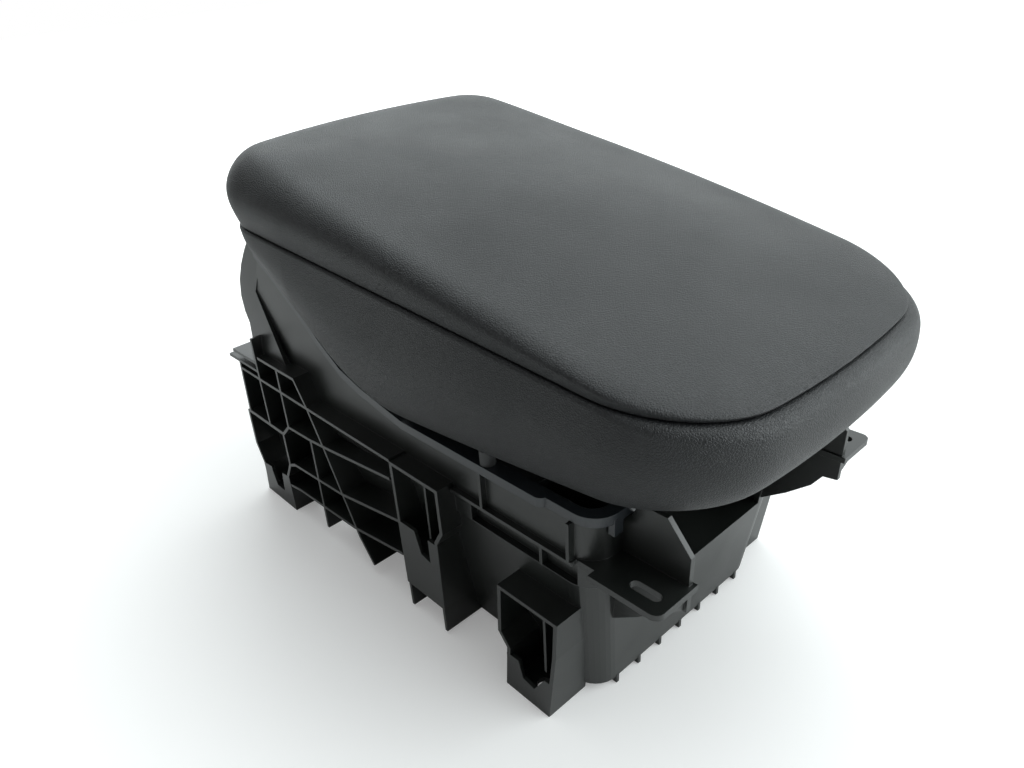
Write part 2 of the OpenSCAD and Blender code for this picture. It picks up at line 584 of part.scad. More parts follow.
// Flanged bush in each arm, running on the pin
module bush(s) color([0.85, 0.82, 0.70]) datum() translate([axis_x, 0, axis_z]) rotate([-90 * s, 0, 0])
  difference() {
    union() {
      translate([0, 0, arm_y]) cylinder(r = bush_r, h = arm_t - cap_t);
      translate([0, 0, arm_y - flange_t]) cylinder(r = bush_r + 2.5, h = flange_t);
    }
    translate([0, 0, arm_y - flange_t - 1]) cylinder(r = pin_r + pin_clear, h = arm_t + flange_t + 2);
  }
module hinge_bush_left() bush(1);
module hinge_bush_right() bush(-1);
module hinge_pin() color(steel) datum() translate([axis_x, -pin_half, axis_z]) rotate([-90, 0, 0])
  cylinder(r = pin_r, h = 2 * pin_half);
module pin_clips() color(steel) datum() for (s = [-1, 1]) translate([axis_x, 0, axis_z])
  rotate([-90 * s, 0, 0]) translate([0, 0, clip_y]) difference() {
    cylinder(r = pin_r + 3, h = clip_t);
    translate([0, 0, -1]) cylinder(r = pin_r, h = clip_t + 2);
  }

bin_housing();
rim_frame();
rim_clips();
bin_mat();
hinge_pin();
pin_clips();
lid_core();
lid_foam();
lid_top_cover();
lid_side_cover();
lid_inner_panel();
panel_screws();
hinge_arm_left();
hinge_arm_right();
hinge_bush_left();
hinge_bush_right();
arm_screws_left();
arm_screws_right();
bump_stop_left();
bump_stop_right();
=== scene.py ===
# %% [markdown]
# # A padded car armrest on its storage bin
#
# The object is a leather-covered lid that swings on a ribbed black bin. The bin, the hinge and the screws come from
# the CAD model and only need a finish. The leather is made here, because a seam, a rolled edge and a taut cover want
# many more points than a CAD solid should carry.

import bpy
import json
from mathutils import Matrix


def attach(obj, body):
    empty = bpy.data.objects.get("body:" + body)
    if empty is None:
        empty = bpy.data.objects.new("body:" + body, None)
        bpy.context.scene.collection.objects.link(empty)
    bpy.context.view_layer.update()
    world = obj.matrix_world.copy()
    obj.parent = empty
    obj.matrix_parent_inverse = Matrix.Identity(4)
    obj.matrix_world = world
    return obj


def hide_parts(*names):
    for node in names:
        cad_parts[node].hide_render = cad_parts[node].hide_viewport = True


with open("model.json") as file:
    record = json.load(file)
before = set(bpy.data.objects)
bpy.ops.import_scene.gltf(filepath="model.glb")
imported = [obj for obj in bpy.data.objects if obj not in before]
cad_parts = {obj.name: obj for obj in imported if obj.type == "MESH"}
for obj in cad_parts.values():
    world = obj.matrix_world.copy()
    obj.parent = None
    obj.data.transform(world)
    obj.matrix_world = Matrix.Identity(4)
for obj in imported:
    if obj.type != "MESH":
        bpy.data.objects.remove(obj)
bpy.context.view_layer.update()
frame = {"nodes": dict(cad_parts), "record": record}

# %%
import json
import math

import bpy
import numpy as np
from mathutils import Matrix, Vector

MM = 0.001
DATUM_X = 97.41  # the side view is drawn from the front foot, and the CAD moves it by this much

# %% [markdown]
# ## Outline of the lid
#
# Seen from above the lid is a long trapezoid with round corners: tight ones at the rear, wide ones at the nose. It
# could be a traced curve, but four corner points, two radii and a little bow along each edge describe it better, and
# the same numbers drive the CAD model. Even steps along the outline keep the leather's faces square.

# %% Plan of the seam line
SEAM_REAR, SEAM_FRONT = -211.8, 58.2
HALF_REAR, HALF_FRONT = 86.8, 80.2
CORNER_REAR, CORNER_FRONT = 20.0, 36.6
BOW_REAR, BOW_FRONT, BOW_SIDE = 10.2, 6.9, 4.5
AROUND = 520  # points round the outline
SOFTENING = 6  # passes that blend the arcs into the sides


def share(x):
    """How far x lies from the rear, 0, to the front, 1, of the seam line."""
    return (x - SEAM_REAR) / (SEAM_FRONT - SEAM_REAR)


def bowed(p):
    """Moves plan points outwards: each end by a parabola across the width, which fades towards the middle of the
    length, and each side by a parabola along the length."""
    u = share(p[:, 0])
    half = HALF_REAR + (HALF_FRONT - HALF_REAR) * u
    k = 1 - (p[:, 1] / half) ** 2
    x = p[:, 0] - BOW_REAR * k * np.maximum(0, 1 - 2 * u) + BOW_FRONT * k * np.maximum(0, 2 * u - 1)
    return np.column_stack([x, p[:, 1] * (1 + BOW_SIDE * 4 * u * (1 - u) / half)])


def corner_arc(centre, radius, start, steps):
    """Quarter circle: centre plus radius times (cos a, sin a), a running over 90 degrees from start."""
    a = np.radians(np.linspace(start, start + 90, steps))
    return np.column_stack([centre[0] + radius * np.cos(a), centre[1] + radius * np.sin(a)])


def half_outline(rear_steps, lane_steps, front_steps, end_steps):
    """Near half of the outline, from the middle of the rear to the middle of the nose: lane, arc, lane, arc, lane."""
    a = np.array([SEAM_REAR + CORNER_REAR, CORNER_REAR - HALF_REAR])
    b = np.array([SEAM_FRONT - CORNER_FRONT, CORNER_FRONT - HALF_FRONT])
    lanes = [
        np.linspace([SEAM_REAR, 0], [SEAM_REAR, a[1]], end_steps)[:-1],
        corner_arc(a, CORNER_REAR, 180, rear_steps),
        np.linspace([a[0], -HALF_REAR], [b[0], -HALF_FRONT], lane_steps)[1:-1],
        corner_arc(b, CORNER_FRONT, 270, front_steps),
        np.linspace([SEAM_FRONT, b[1]], [SEAM_FRONT, 0], end_steps)[1:],
    ]
    return bowed(np.vstack(lanes))


def even_loop(p, count):
    """Points at even distances along a closed line: distance is summed, and each coordinate is looked up by it."""
    q = np.vstack([p, p[:1]])
    d = np.concatenate([[0], np.cumsum(np.linalg.norm(np.diff(q, axis=0), axis=1))])
    s = np.linspace(0, d[-1], count, endpoint=False)
    return np.column_stack([np.interp(s, d, q[:, 0]), np.interp(s, d, q[:, 1])])


def rounded_loop(p, passes):
    """Softens a closed line: each pass moves every point to the mean of itself, twice, and its two neighbours."""
    for _ in range(passes):
        p = (2 * p + np.roll(p, 1, axis=0) + np.roll(p, -1, axis=0)) / 4
    return p


near = half_outline(60, 300, 90, 90)
PLAN = rounded_loop(even_loop(np.vstack([near, near[-2:0:-1] * [1, -1]]), AROUND), SOFTENING)
step = np.roll(PLAN, -1, axis=0) - np.roll(PLAN, 1, axis=0)
OUTWARD = np.column_stack([step[:, 1], -step[:, 0]]) / np.linalg.norm(step, axis=1)[:, None]
spacing = float(np.linalg.norm(step, axis=1).mean() / 2)
print("seam line:", np.ptp(PLAN, axis=0).round(1), "mm, a point every", round(spacing, 2), "mm")

# %% [markdown]
# ## Heights of the lid
#
# The seam falls towards the nose, the pad is tall at the rear and thin at the front, and the lower edge of the side
# leather sweeps up at the rear to clear the hinge. Each is a short function of the distance along the lid.

# %% Heights over the length, in millimetres
SEAM_LEVEL, SEAM_FALL, SEAM_SAG = 175, 0.13, 2.08  # at the front foot, per mm, and per 100 mm squared
RISE_REAR, RISE_FRONT, CROWN = 34.7, 2.8, 6.0
SKIRT_LEVEL, SKIRT_CLIMB, SKIRT_GAP = 126.7, 0.056, 5  # at the front foot, per mm, and below the seam at the rear
SWEEP_START, SWEEP_POWER = -123.0, 0.7
BLEND_MM = 8.0  # how widely the corners of the CAD panel's edge are rounded
MID_X = (SEAM_REAR + SEAM_FRONT) / 2


def seam_z(x):
    """Height of the seam: a straight fall with a slight parabola."""
    return SEAM_LEVEL - SEAM_FALL * x - SEAM_SAG * (x / 100) ** 2


def rise(x):
    """Height of the pad above the seam, falling evenly from rear to front."""
    return RISE_REAR + (RISE_FRONT - RISE_REAR) * share(x)


def skirt_formula(x):
    """Lower edge of the side leather: a nearly level line that bends up to just under the seam at the rear."""
    level = SKIRT_LEVEL + SKIRT_CLIMB * x
    sweep = np.clip((SWEEP_START - x) / (SWEEP_START - SEAM_REAR), 0, 1) ** SWEEP_POWER
    return level + (seam_z(x) - SKIRT_GAP - level) * sweep


stations = np.sort(half_outline(5, 8, 7, 4)[:, 0])  # where the CAD panel's edge has its corners
edge_x = np.arange(-240.0, 80.0, 1.0)
edge_z = np.interp(edge_x, stations, skirt_formula(stations))
reach = int(3 * BLEND_MM)
bell = np.exp(-0.5 * (np.arange(-reach, reach + 1) / BLEND_MM) ** 2)
edge_z = np.convolve(np.pad(edge_z, reach, mode="edge"), bell / bell.sum(), mode="valid")


def skirt_z(x):
    """Lower edge of the side leather, read from the smoothed line through the CAD panel's corners."""
    return np.interp(x, edge_x, edge_z)


side_heights = [round(float(seam_z(x) - skirt_z(x)), 1) for x in (-200, -120, -40, 50)]
print("height of the side leather, rear to nose, mm:", side_heights)

# %% [markdown]
# ## A helper that turns rings of points into a mesh
#
# Both covers are tubes of points: one ring per step of the profile, one point per step round the lid. Joining ring to
# ring gives quads, an end can close on one pole point, and a profile that returns to its start closes on itself. The
# indices come from whole-array arithmetic, so no Python loop visits the points.

# %% Rings to mesh
def signed_volume(v, quads):
    """Sum of the signed volumes of the pyramids from the origin to each face; positive when faces point outwards."""
    a, b, c, d = (v[quads[:, i]] for i in range(4))
    return float((np.cross(a, b) * c).sum() + (np.cross(a, c) * d).sum()) / 6


def ring_mesh(name, rings, material, poles=None, seam_shade=None):
    """Builds a closed mesh from rings shaped (steps, around, 3) in mm; poles gives the two end points, or None for a
    profile that closes on itself, and the last argument one number per ring, its share of painted seam shade, kept as
    the attribute seam."""
    steps, around = rings.shape[:2]
    v = rings.reshape(-1, 3)
    last = steps - 1 if poles is not None else steps
    i, j = np.meshgrid(np.arange(last), np.arange(around), indexing="ij")
    i2, j2 = (i + 1) % steps, (j + 1) % around
    quads = np.stack([i * around + j, i2 * around + j, i2 * around + j2, i * around + j2], axis=-1).reshape(-1, 4)
    seam = np.repeat(np.zeros(steps) if seam_shade is None else seam_shade, around)
    tris = np.zeros((0, 3), int)
    if poles is not None:
        v = np.vstack([v, poles])
        seam = np.append(seam, [0, 0])
        k, k2 = np.arange(around), (np.arange(around) + 1) % around
        end = (steps - 1) * around
        tris = np.vstack([
            np.column_stack([np.full(around, len(v) - 2), k, k2]),
            np.column_stack([np.full(around, len(v) - 1), end + k2, end + k]),
        ])
    if signed_volume(v - v.mean(axis=0), quads) < 0:
        quads, tris = quads[:, ::-1], tris[:, ::-1]
    v = (v + [DATUM_X, 0, 0]) * MM
    mesh = bpy.data.meshes.new(name)
    mesh.vertices.add(len(v))
    mesh.vertices.foreach_set("co", v.ravel())
    corners = np.concatenate([quads.ravel(), tris.ravel()])
    mesh.loops.add(len(corners))
    mesh.loops.foreach_set("vertex_index", corners)
    mesh.polygons.add(len(quads) + len(tris))
    starts = np.concatenate([np.arange(len(quads)) * 4, len(quads) * 4 + np.arange(len(tris)) * 3])
    mesh.polygons.foreach_set("loop_start", starts)
    mesh.update(calc_edges=True)
    mesh.polygons.foreach_set("use_smooth", np.ones(len(mesh.polygons), bool))
    # the attribute seam carries the painted shade of the seam to the leather's finish
    mesh.attributes.new("seam", "FLOAT", "POINT").data.foreach_set("value", seam.astype(np.float32))
    mesh.validate()
    mesh.materials.append(material)
    obj = bpy.data.objects.new(name, mesh)
    bpy.context.scene.collection.objects.link(obj)
    print(name, len(v), "points", 2 * len(quads) + len(tris), "triangles")
    return obj


# %% [markdown]
# ## Finishes
#
# Every finish starts from what the real one is and how its surface was made. Colours are written as the hex values a
# painter would pick on screen, and one function turns them to the linear numbers that Blender works in. One more
# function adds a shader node with its settings and links.

# %% Colour and node helpers
def linear(hex_value):
    """sRGB hex to linear RGBA: v/12.92 below 0.04045, else ((v+0.055)/1.055) to the power 2.4."""
    v = np.array([int(hex_value[i:i + 2], 16) for i in (1, 3, 5)]) / 255
    return (*np.where(v <= 0.04045, v / 12.92, ((v + 0.055) / 1.055) ** 2.4).tolist(), 1.0)


def add(tree, kind, inputs=None, **settings):
    """Adds a shader node; a value in inputs sets a socket, and an output socket in its place is linked to it."""
    n = tree.nodes.new("ShaderNode" + kind)
    for key, value in settings.items():
        setattr(n, key, value)
    for key, value in (inputs or {}).items():
        if isinstance(value, bpy.types.NodeSocket):
            tree.links.new(value, n.inputs[key])
        else:
            n.inputs[key].default_value = value
    return n


def new_finish(name):
    """An empty material with a Principled shader on its output; returns the material, its tree and the shader."""
    m = bpy.data.materials.new(name)
    m.use_nodes = True
    m.node_tree.nodes.clear()
    shader = add(m.node_tree, "BsdfPrincipled")
    add(m.node_tree, "OutputMaterial", {"Surface": shader.outputs[0]})
    return m, m.node_tree, shader


def per_mm(size):
    """Texture scale for a pattern that repeats every size millimetres, on coordinates in metres."""
    return 1 / (size * MM)


# %% [markdown]
# ### Grained leather
#
# Car leather is pigmented and embossed: small pebbles about a millimetre across with fine creases between them, under
# a semi-matt clear lacquer that throws a soft broad sheen. A Voronoi pattern gives the cells, its distance to the
# cell's edge gives the crease, and a noise bends it so that the cells don't look cut out. A finer noise adds the pores,
# and a wide one lets the sheen drift as it does where hands have rubbed.

# %% Leather
GRAIN_MM = 0.95  # the real grain is a little finer, which would not show at this size
GRAIN_DEPTH_MM = 0.15
PORE_MM = 0.45
BEND_MM, BEND_REACH_MM = 3.5, 0.9  # how widely and how far the cells are pushed about
SHEEN_MM = 38


def leather_finish():
    """Pebbles, darker creases, pores and a drifting sheen; painted shade, nearly black, where the attribute seam is 1.
    """
    m, t, shader = new_finish("pigmented_embossed_leather")
    at = add(t, "TexCoord").outputs["Object"]
    bend = add(t, "TexNoise", {"Vector": at, "Scale": per_mm(BEND_MM), "Detail": 2.0})
    offset = add(t, "VectorMath", {0: bend.outputs["Color"], 1: (0.5, 0.5, 0.5)}, operation="SUBTRACT")
    moved = add(t, "VectorMath", {0: offset.outputs[0], 1: (BEND_REACH_MM * MM,) * 3, 2: at}, operation="MULTIPLY_ADD")
    cells = add(t, "TexVoronoi", {"Vector": moved.outputs[0], "Scale": per_mm(GRAIN_MM)}, feature="DISTANCE_TO_EDGE")
    pebble = add(t, "MapRange", {"Value": cells.outputs["Distance"], "From Max": 0.28}, interpolation_type="SMOOTHSTEP")
    pores = add(t, "TexNoise", {"Vector": at, "Scale": per_mm(PORE_MM), "Detail": 1.0})
    height = add(t, "Math", {0: pores.outputs["Fac"], 1: 0.35, 2: pebble.outputs[0]}, operation="MULTIPLY_ADD")
    wide = add(t, "TexNoise", {"Vector": at, "Scale": per_mm(SHEEN_MM), "Detail": 3.0})
    tone = add(t, "ValToRGB", {"Fac": pebble.outputs[0]})
    tone.color_ramp.elements[0].color = linear("#090b0d")
    tone.color_ramp.elements[1].color = linear("#121518")
    # painted shade: the depth of the seam and the covers' inner faces are painted nearly black
    seam = add(t, "Attribute", attribute_name="seam")
    shade = add(t, "MixRGB", {"Fac": seam.outputs["Fac"], "Color1": tone.outputs[0], "Color2": linear("#050506")})
    gloss = add(t, "MapRange", {"Value": wide.outputs["Fac"], "From Min": 0.3, "From Max": 0.7,
                                "To Min": 0.44, "To Max": 0.52})
    bump = add(t, "Bump", {"Height": height.outputs[0], "Strength": 0.85, "Distance": GRAIN_DEPTH_MM * MM})
    t.links.new(shade.outputs[0], shader.inputs["Base Color"])
    t.links.new(gloss.outputs[0], shader.inputs["Roughness"])
    t.links.new(bump.outputs[0], shader.inputs["Normal"])
    shader.inputs["IOR"].default_value = 1.5
    return m


LEATHER = leather_finish()
print("leather grain:", GRAIN_MM, "mm")

# %% [markdown]
# ### Moulded plastics, rubber, foam and metal
#
# The bin is black ABS moulded in a spark-eroded tool, which leaves an even fine grain and a dull shine; the frame on
# top of it is the same resin in a satin grey-black. The arms are glass-filled nylon, the bushes natural acetal, the
# stops and the mat rubber, and the small metal parts are ground or zinc-plated steel. They differ in colour,
# roughness and the size of their grain, so one function with those numbers makes them all. A mould never leaves a
# knife edge, so a Bevel node rounds the light on every edge by the radius of the tool.

# %% Moulded and metal finishes
EDGE_MM = 0.35  # radius that the mould leaves on every edge


def grained_finish(name, low, high, rough, grain_mm, depth_mm, metallic=0.0, cloud_mm=45, rough_spread=0.06):
    """A solid colour that drifts between two tones, with a fine even grain pressed into it and softly shaded edges."""
    m, t, shader = new_finish(name)
    at = add(t, "TexCoord").outputs["Object"]
    cloud = add(t, "TexNoise", {"Vector": at, "Scale": per_mm(cloud_mm), "Detail": 4.0})
    drift = add(t, "MapRange", {"Value": cloud.outputs["Fac"], "From Min": 0.35, "From Max": 0.65})
    tone = add(t, "MixRGB", {"Fac": drift.outputs[0], "Color1": linear(low), "Color2": linear(high)})
    gloss = add(t, "MapRange", {"Value": cloud.outputs["Fac"], "From Min": 0.3, "From Max": 0.7,
                                "To Min": rough - rough_spread, "To Max": rough + rough_spread})
    grain = add(t, "TexNoise", {"Vector": at, "Scale": per_mm(grain_mm), "Detail": 2.0})
    edge = add(t, "Bevel", {"Radius": EDGE_MM * MM}, samples=4)
    bump = add(t, "Bump", {"Height": grain.outputs["Fac"], "Strength": 0.5, "Distance": depth_mm * MM,
                           "Normal": edge.outputs[0]})
    t.links.new(tone.outputs[0], shader.inputs["Base Color"])
    t.links.new(gloss.outputs[0], shader.inputs["Roughness"])
    t.links.new(bump.outputs[0], shader.inputs["Normal"])
    shader.inputs["Metallic"].default_value = metallic
    if not metallic:
        shader.inputs["IOR"].default_value = 1.6
    return m


FINISHES = {
    "black_plastic": grained_finish("spark_eroded_black_abs", "#131514", "#1a1d1b", 0.36, 0.5, 0.05),
    "satin_plastic": grained_finish("satin_grey_black_abs", "#22262a", "#292d31", 0.34, 0.4, 0.03),
    "core_plastic": grained_finish("glass_filled_black_abs", "#1c1d1e", "#222324", 0.5, 0.8, 0.08),
    "arm_plastic": grained_finish("glass_filled_black_nylon", "#1d1f20", "#242729", 0.42, 0.7, 0.05),
    "bush_plastic": grained_finish("natural_acetal", "#cfc7ae", "#d8d1ba", 0.35, 0.5, 0.02),
    "foam": grained_finish("open_cell_polyurethane_foam", "#c9b878", "#d6c78c", 0.9, 0.9, 0.5),
    "mat_rubber": grained_finish("moulded_mat_rubber", "#1d1e1f", "#232425", 0.7, 0.6, 0.12),
    "stop_rubber": grained_finish("black_stop_rubber", "#1b1c1d", "#222324", 0.6, 0.5, 0.05),
    "pin_steel": grained_finish("ground_pin_steel", "#b4b6b8", "#c2c4c6", 0.25, 0.3, 0.01, 1.0, 12),
    "spring_steel": grained_finish("zinc_plated_spring_steel", "#a7abae", "#b6babc", 0.34, 0.4, 0.01, 1.0, 8),
    "screw_steel": grained_finish("zinc_plated_screw_steel", "#a3a7aa", "#b9bdbf", 0.32, 0.4, 0.01, 1.0, 6),
    "leather": LEATHER,
}
SLOT_OF = {row["node"]: row["material_slot"] for row in frame["record"]["subparts"]}
for name, obj in frame["nodes"].items():
    for s in obj.material_slots:
        s.material = FINISHES[SLOT_OF[name]]
print("finishes:", len(FINISHES))

# %% [markdown]
# ## The top leather
#
# The top cover is a crowned pad whose edge rolls down steeply into the seam. A sculpt or a cloth simulation could
# make it, but the real one is moulded foam under taut leather, so it keeps an exact form: one formula for the
# shoulder, one for the crown, and a lip that tucks into the seam. The same profile runs back 1.6 mm further in, so
# that the piece is a closed skin.

# %% Shape of the top cover
LEATHER_T = 1.6
BULGE_CORNER, BULGE_REAR, BULGE_FRONT, NOSE_FADE = 6.4, 1.4, 1.4, 0.2
ROLL_REAR, ROLL_FRONT = 26.0, 13.5
FULL_REAR, FULL_FRONT = 0.9, 0.66  # 1 is an ellipse, and less makes the shoulder fuller
REAR_LIFT = 2.4  # extra height of the rear end, where the pad is stuffed fullest
CROWN_REACH = (122, 74)  # half length and half width over which the crown falls to nothing
CORNER_FROM, CORNER_OVER = -90, 115  # where the fuller rear corners begin, and over what length they build up
LIFT_FROM, LIFT_OVER = -120, 90  # the same for the lift of the rear end
LIP = 0.4  # half the width of the seam at the surface
TUCK = 1.3  # depth of the seam
SEAM_EDGE_SHADE = 0.15  # how much of the painted shade in the seam its two edges take
NOSE = np.maximum(0, OUTWARD[:, 0])  # 1 where the outline faces forwards, 0 along the sides and the rear
SEAM_OUT = 2.2 * (1 - NOSE)  # the taut leather draws the seam out from the core's line along the sides


def eased(u):
    """0 below u = 0 and 1 above u = 1, with a soft S between: three u squared less two u cubed."""
    u = np.clip(u, 0, 1)
    return u ** 2 * (3 - 2 * u)


def pushed(d):
    """Plan points moved outwards by d, which may differ from step to step and from point to point."""
    return PLAN[None] + OUTWARD[None] * d[..., None]


def tucked(edge, turn, lift):
    """Rings that leave an edge as a quarter of an ellipse, TUCK mm inwards and lift mm up, at the angles turn."""
    inward = -OUTWARD[None] * (TUCK * np.sin(turn))[:, None, None]
    return edge[None] + np.dstack([inward, np.repeat((lift * (1 - np.cos(turn)))[:, None], AROUND, axis=1)])


def pad_height(x, y):
    """Height of the pad's top: the seam, plus the rise, plus a crown that falls to nothing at the edges by
    (1 - u squared)(1 - v squared) to the power 1.3, plus a smooth lift at the rear end."""
    u, v = (x - MID_X) / CROWN_REACH[0], y / CROWN_REACH[1]
    swell = np.maximum(0, 1 - u ** 2) * np.maximum(0, 1 - v ** 2)
    return seam_z(x) + rise(x) + CROWN * swell ** 1.3 + REAR_LIFT * eased((LIFT_FROM - x) / LIFT_OVER)


def shoulder(a, t):
    """Pad from the seam, a = 0, to the edge of the crown, a = 90 degrees, t mm inside its skin: it stands out by the
    bulge times sin(2.5 a), which is whole from 36 degrees on and largest at the rear corners, comes in by the roll
    times (1 - cos a to the fullness), and climbs from the seam to the pad's height with sin a to the fullness."""
    a = np.radians(a)[:, None]
    x = PLAN[:, 0]
    corner = eased((CORNER_FROM - x) / CORNER_OVER)
    side = (BULGE_REAR + (BULGE_FRONT - BULGE_REAR) * share(x)) * (1 - NOSE_FADE * NOSE)
    bulge = side + (BULGE_CORNER - side) * corner
    roll = ROLL_REAR + (ROLL_FRONT - ROLL_REAR) * share(x) * (1 - NOSE)
    full = FULL_FRONT + (FULL_REAR - FULL_FRONT) * corner
    inward, up = 1 - np.cos(a).clip(0) ** full, np.sin(a).clip(0) ** full
    p = pushed(SEAM_OUT + bulge * np.sin(np.minimum(np.pi / 2, 2.5 * a)) - roll * inward - t)
    climb = pad_height(p[..., 0], p[..., 1]) - seam_z(x) - t
    return np.dstack([p, seam_z(x) + LIP * np.cos(a) ** 2 + climb * up])


def crowned(k, t):
    """Pad inside the shoulder: the ring at 90 degrees drawn together by k, at the pad's height."""
    ring = shoulder(np.array([90.0]), t)[0]
    x = MID_X + (ring[None, :, 0] - MID_X) * k[:, None]
    y = ring[None, :, 1] * k[:, None]
    return np.dstack([x, y, pad_height(x, y) - t])


def softened(rings, weight, passes):
    """Takes kinks out of a profile: each pass moves every ring but the first and last by its weight towards the mean
    of itself, twice, and its two neighbours."""
    for _ in range(passes):
        mean = (2 * rings[1:-1] + rings[:-2] + rings[2:]) / 4
        rings[1:-1] += weight[1:-1, None, None] * (mean - rings[1:-1])
    return rings


def top_cover_rings():
    """Closed skin of the pad: crown and shoulder outwards, the lip into the seam, and back along the inside. Each ring
    also gets its share of painted shade, from 0 on the open leather to 1 in the depth of the seam."""
    k, a = np.linspace(0.02, 1, 60)[:-1], 90 * np.linspace(1, 0, 64) ** 1.25
    out = np.vstack([crowned(k, 0), shoulder(a, 0)])
    out = softened(out, np.concatenate([np.ones(len(k)), np.clip((a - 12) / 40, 0, 1)]), 40)
    turn = np.radians(np.linspace(0, 90, 7)[1:])
    lip = tucked(out[-1], turn, -LIP)
    inner = np.vstack([shoulder(np.linspace(6, 90, 16), LEATHER_T), crowned(np.linspace(1, 0.02, 24)[1:], LEATHER_T)])
    inner = softened(inner, np.clip(np.arange(len(inner)) / 8 - 0.5, 0, 1), 6)
    # painted shade in the seam: none on the open leather, a little on its edge, full in its depth and on the inside
    seam_shade = np.concatenate([np.zeros(len(out) - 1), [SEAM_EDGE_SHADE], np.sin(turn), np.ones(len(inner))])
    return np.vstack([out, lip, inner]), seam_shade


rings, seam_shade = top_cover_rings()
top_z = float(pad_height(MID_X, 0))
poles = [[MID_X, 0, top_z], [MID_X, 0, top_z - LEATHER_T]]
top_leather = ring_mesh("lid_top_leather", rings, LEATHER, poles, seam_shade)
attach(top_leather, "lid")
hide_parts("lid_top_cover")

# %% [markdown]
# ## The side leather
#
# The side cover starts in the seam, rolls out over a small shoulder that catches the light, bellies out half way
# down, draws in again and turns under the lid's edge in a wide curve, where the closing panel clamps it. The shoulder
# is much larger across the nose, where the hand rests. Its profile comes back along the inside, so the rings close on
# themselves.

# %% Shape of the side cover
BELLY = 4.2 + 0.3 * NOSE  # the side is a little rounder across the nose, and draws in further
DRAW_IN = 2.4 + 0.8 * NOSE
SHOULDER_SIDE, SHOULDER_NOSE = 1.3, 6.6
FULL_HEIGHT = 40  # where the side is lower than this, it bellies and draws in by its share of it
EDGE_IN, EDGE_UP = 3.4, 9.0 + 4.0 * NOSE  # how far the lower edge turns under and where the turn starts
UNDER_MM = (8.0, 11.0, 14.0)  # rings of the leather clamped under the lid, by how far in they lie


def turn_start():
    """Share of the side's height at which its lower edge starts to turn under."""
    tall = seam_z(PLAN[:, 0]) - skirt_z(PLAN[:, 0])
    return (1 - np.minimum(EDGE_UP, 0.35 * tall) / tall)[None]


def side_point(h, t):
    """Points of the side at the shares h of its height below the seam, t mm inside its skin: out by the belly times
    sin(180 h), by the shoulder, a quarter circle near the seam that fades with h, and by the seam's own draw times
    (1 - h) squared, and in by the draw times h cubed. Over the last EDGE_UP mm it turns under the lid as a quarter of
    an ellipse, EDGE_IN mm in."""
    x = PLAN[:, 0]
    tall = seam_z(x) - skirt_z(x)
    full = np.minimum(1, tall / FULL_HEIGHT)[None]
    r = np.minimum(SHOULDER_SIDE + (SHOULDER_NOSE - SHOULDER_SIDE) * NOSE, 0.4 * tall)[None]
    near_seam = np.minimum(1, h * tall[None] / r)
    soft = r * np.sqrt(np.maximum(0, 1 - (1 - near_seam) ** 2)) * (1 - h) ** 1.5 * 0.8
    d = (BELLY * np.sin(np.pi * h) - DRAW_IN * h ** 3) * full + soft + SEAM_OUT * (1 - h) ** 2 - t
    turned = np.clip((h - turn_start()) / (1 - turn_start()), 0, 1)
    d = d - EDGE_IN * full * (1 - np.sqrt(1 - turned ** 2))
    z = seam_z(x)[None] - LIP * (1 - h) - tall[None] * h
    return np.dstack([pushed(d), z])


def side_cover_rings():
    """Closed skin of the side: out of the seam and down, under the lid's edge, and back up along the inside, with the
    same shares of painted seam shade as the pad's."""
    h = np.concatenate([np.linspace(0, 0.1, 14), np.linspace(0.1, 1, 52)[1:]])
    bend = np.radians(np.linspace(0, 90, 16))[1:, None]
    outer = side_point(np.vstack([h[:, None] * turn_start(), turn_start() + (1 - turn_start()) * np.sin(bend)]), 0)
    turn = np.radians(np.linspace(90, 0, 7)[:-1])
    lip = tucked(outer[0], turn, LIP)
    under = [np.dstack([pushed(np.full((1, AROUND), -d)), (skirt_z(PLAN[:, 0]) + lift)[None]])
             for lift, row in ((0, UNDER_MM), (LEATHER_T, UNDER_MM[::-1])) for d in row]
    back = side_point(np.linspace(1, 0.04, 20)[:, None] * turn_start(), LEATHER_T)
    # painted shade in the seam: full in its depth, a little on its edge, none on the open leather, full on the inside
    seam_shade = np.concatenate([np.sin(turn), [SEAM_EDGE_SHADE], np.zeros(len(outer) - 1), np.ones(len(under) + len(back))])
    return np.vstack([lip, outer, *under, back]), seam_shade


rings, seam_shade = side_cover_rings()
side_leather = ring_mesh("lid_side_leather", rings, LEATHER, None, seam_shade)
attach(side_leather, "lid")
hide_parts("lid_side_cover")

# %% [markdown]
# ## The foam
#
# The pad under the leather is moulded to the rigid core, so it is the two covers' inner face, closed underneath by
# the core's roof and wall. It never shows, but it moves and is cut open like the rest, so it is made from the same
# formulas and fits the leather exactly.

# %% Shape of the foam
CORE_INSET = 8.0  # how far the core's wall lies inside the seam line
CORE_DROP, CORE_SHARE = 8, 0.55  # the core's roof: so far below the seam, plus this share of the pad's rise
FOAM_SKIN = LEATHER_T + 0.1  # the foam lies this far inside the leather's outer face
SEAM_ROOM = 0.7  # free depth behind the tucked seam


def core_roof(x):
    """Height of the core's roof."""
    return seam_z(x) - CORE_DROP + CORE_SHARE * rise(x)


